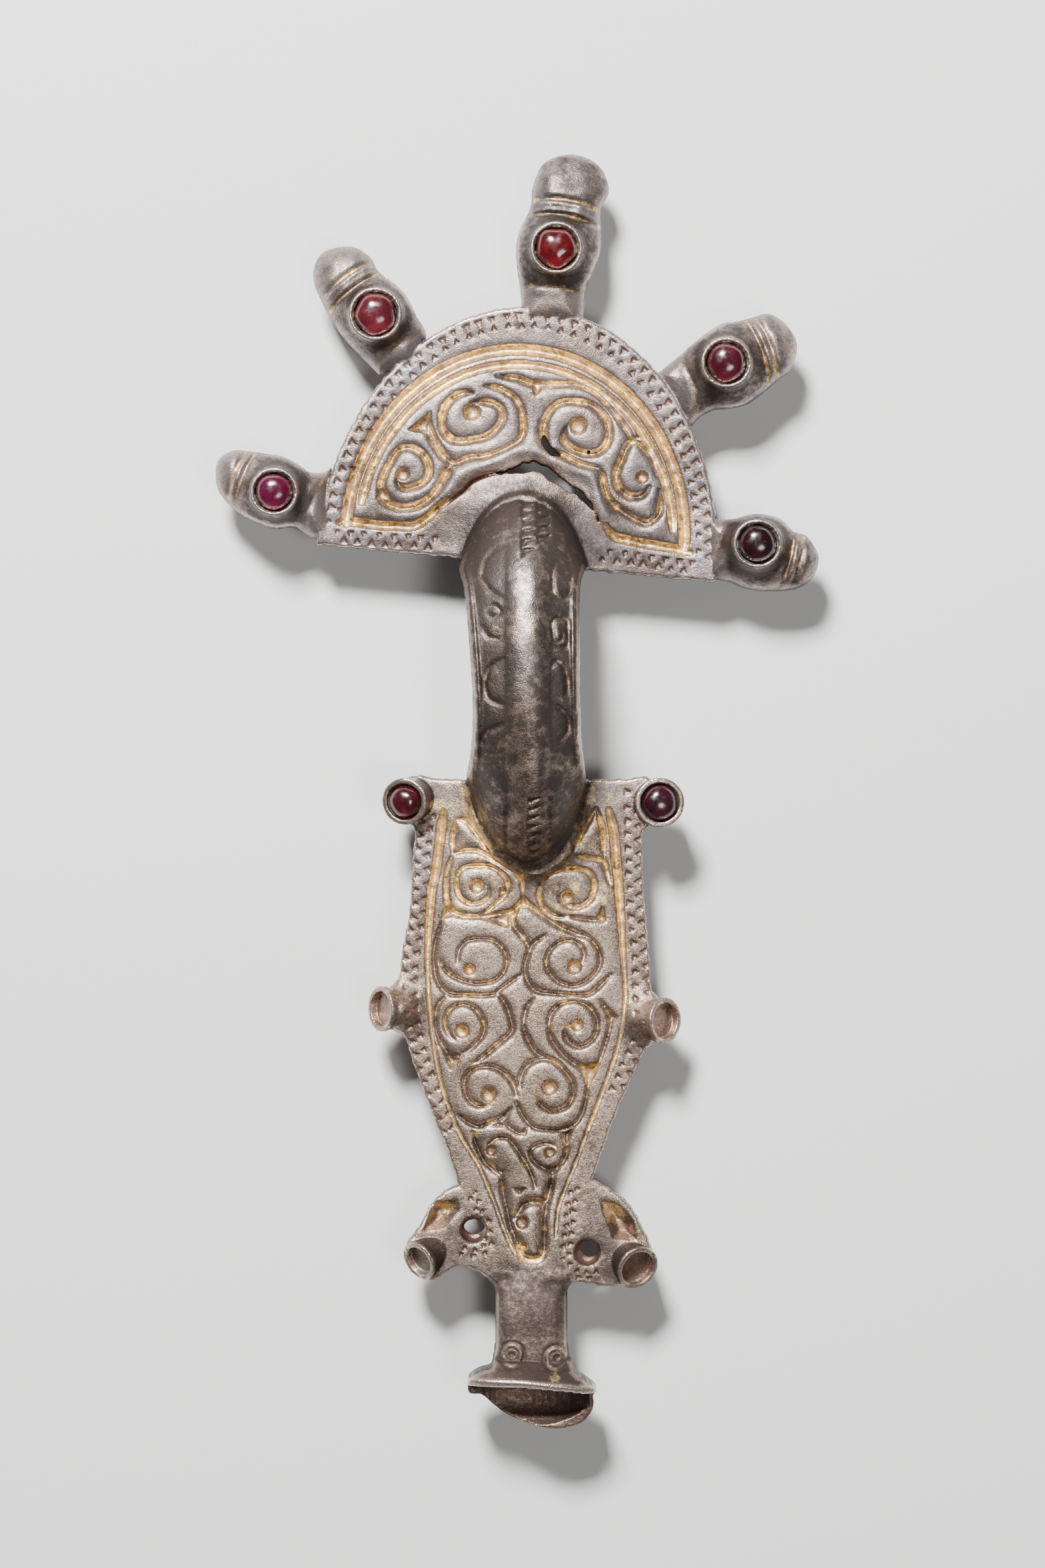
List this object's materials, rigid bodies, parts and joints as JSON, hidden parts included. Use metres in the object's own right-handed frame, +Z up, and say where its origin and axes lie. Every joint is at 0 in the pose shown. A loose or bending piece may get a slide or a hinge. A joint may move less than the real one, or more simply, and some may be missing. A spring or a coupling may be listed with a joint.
{
  "type": "bow brooch",
  "caption": "Radiate-headed bow brooch of silver with gilt spiral carving, an arched bow, a long foot plate with bird heads, and garnet cabochons.",
  "frame": {"origin": "centre of the brooch's outline, at the height of the surface that it lies on", "axes": "+Y runs from the foot's terminal to the head with its knobs, +Z is up from the back to the decorated face, +X is to the right seen from above"},
  "size_m": [0.0726, 0.1529, 0.0216],
  "materials": {
    "silver_gilt": "worn cast silver alloy, tarnished, with gilding left in the carved grooves",
    "garnet": "polished cabochon"
  },
  "bodies": {
    "root": {"cast_body": "silver_gilt", "garnet_knob_1": "garnet", "garnet_knob_2": "garnet", "garnet_knob_3": "garnet", "garnet_knob_4": "garnet", "garnet_knob_5": "garnet", "garnet_corner_left": "garnet", "garnet_corner_right": "garnet"}
  },
  "joints": []
}
